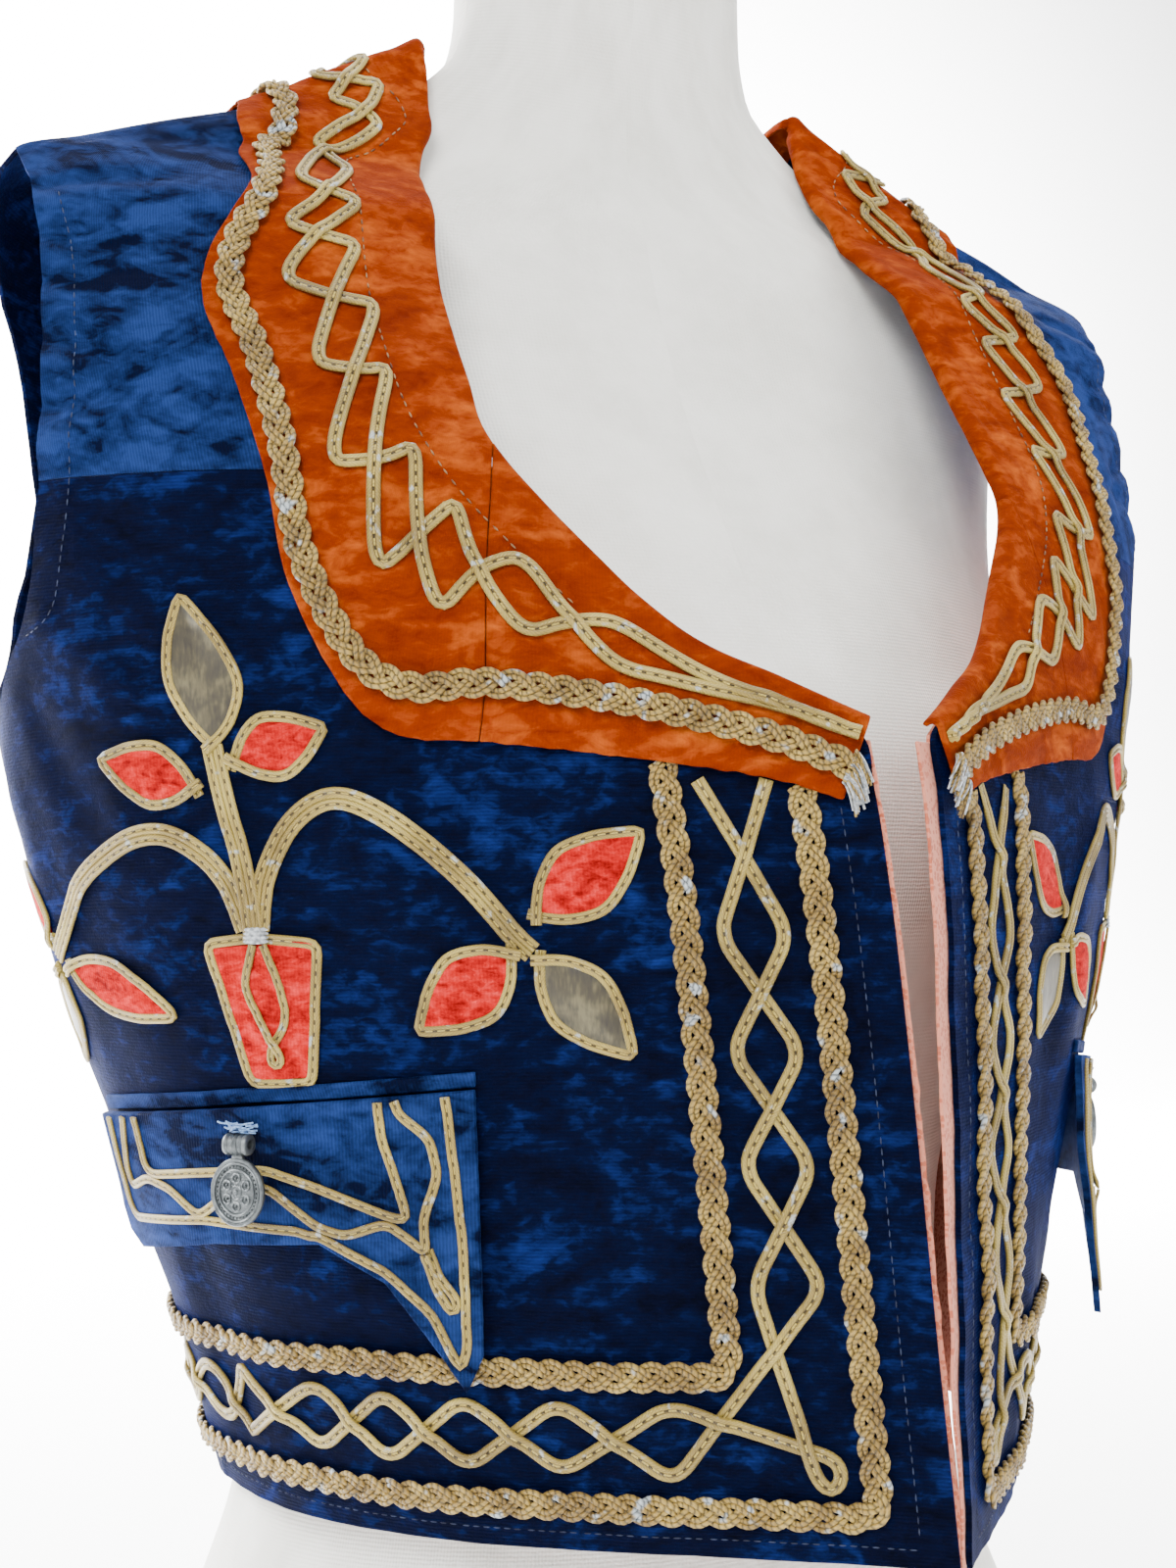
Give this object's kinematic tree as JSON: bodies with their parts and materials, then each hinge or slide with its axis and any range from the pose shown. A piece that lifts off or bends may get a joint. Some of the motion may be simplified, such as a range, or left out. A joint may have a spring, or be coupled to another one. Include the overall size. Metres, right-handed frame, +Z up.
{
  "type": "embroidered folk vest on a dress form",
  "caption": "Waist-length velvet folk vest with a turned-down collar, plaited cord edges, corded zigzag borders, flower-pot appliqués and hip flaps with coins, on a plain dress form.",
  "frame": {"origin": "middle of the dress form's flat base, on the surface it stands on", "axes": "+Z up, the vest's fronts face -Y, its right side (the wearer's) is at -X"},
  "size_m": [0.4148, 0.2999, 0.734],
  "materials": {
    "navy_velvet": "crushed cotton velvet with a fine rib",
    "royal_velvet": "cotton velvet, nap turned the other way",
    "orange_velvet": "cotton velvet, worn paler at its edges",
    "red_velvet": "cotton velvet appliqué",
    "olive_satin": "satin appliqué with a soft gloss",
    "coral_cotton": "plain cotton with a small woven dot",
    "plaited_cord": "antique gold plait of twisted thread",
    "soutache": "antique gold twin cord, stitched down its groove",
    "pewter": "cast pewter, dull grey with polished high spots",
    "form_linen": "off-white linen cover"
  },
  "bodies": {
    "vest": {"back": "navy_velvet", "branch_in_left": "soutache", "branch_in_right": "soutache", "branch_out_left": "soutache", "branch_out_right": "soutache", "collar_back": "orange_velvet", "collar_front_left": "orange_velvet", "collar_front_right": "orange_velvet", "collar_side_left": "orange_velvet", "collar_side_right": "orange_velvet", "dress_form": "form_linen", "flap_left": "royal_velvet", "flap_right": "royal_velvet", "front_left": "navy_velvet", "front_right": "navy_velvet", "leaf_in_high_left": "red_velvet", "leaf_in_high_right": "red_velvet", "leaf_in_low_left": "olive_satin", "leaf_in_low_right": "olive_satin", "leaf_in_side_left": "red_velvet", "leaf_in_side_right": "red_velvet", "leaf_out_high_left": "red_velvet", "leaf_out_high_right": "red_velvet", "leaf_out_low_left": "olive_satin", "leaf_out_low_right": "olive_satin", "leaf_out_side_left": "red_velvet", "leaf_out_side_right": "red_velvet", "leaf_top_in_left": "red_velvet", "leaf_top_in_right": "red_velvet", "leaf_top_left": "olive_satin", "leaf_top_out_left": "red_velvet", "leaf_top_out_right": "red_velvet", "leaf_top_right": "olive_satin", "lining_left": "coral_cotton", "lining_right": "coral_cotton", "plait_collar_left": "plaited_cord", "plait_collar_right": "plaited_cord", "plait_inner_left": "plaited_cord", "plait_inner_right": "plaited_cord", "plait_outer_left": "plaited_cord", "plait_outer_right": "plaited_cord", "pot_left": "red_velvet", "pot_right": "red_velvet", "soutache_border_a_left": "soutache", "soutache_border_a_right": "soutache", "soutache_border_b_left": "soutache", "soutache_border_b_right": "soutache", "soutache_collar_a_left": "soutache", "soutache_collar_a_right": "soutache", "soutache_collar_b_left": "soutache", "soutache_collar_b_right": "soutache", "stem_left": "soutache", "stem_right": "soutache", "welt_left": "royal_velvet", "welt_right": "royal_velvet", "yoke_left": "royal_velvet", "yoke_right": "royal_velvet"},
    "coin_right": {"coin_right": "pewter"},
    "coin_left": {"coin_left": "pewter"}
  },
  "joints": [
    {"name": "coin_right_swing", "type": "hinge", "parent": "vest", "child": "coin_right", "pos_m": [-0.15346, -0.07161, 0.31289], "axis": [-0.6229, 0.7823, 0], "range_deg": [0, 60]},
    {"name": "coin_left_swing", "type": "hinge", "parent": "vest", "child": "coin_left", "pos_m": [0.16561, -0.05841, 0.31253], "axis": [-0.4543, -0.8909, 0], "range_deg": [0, 60]}
  ]
}
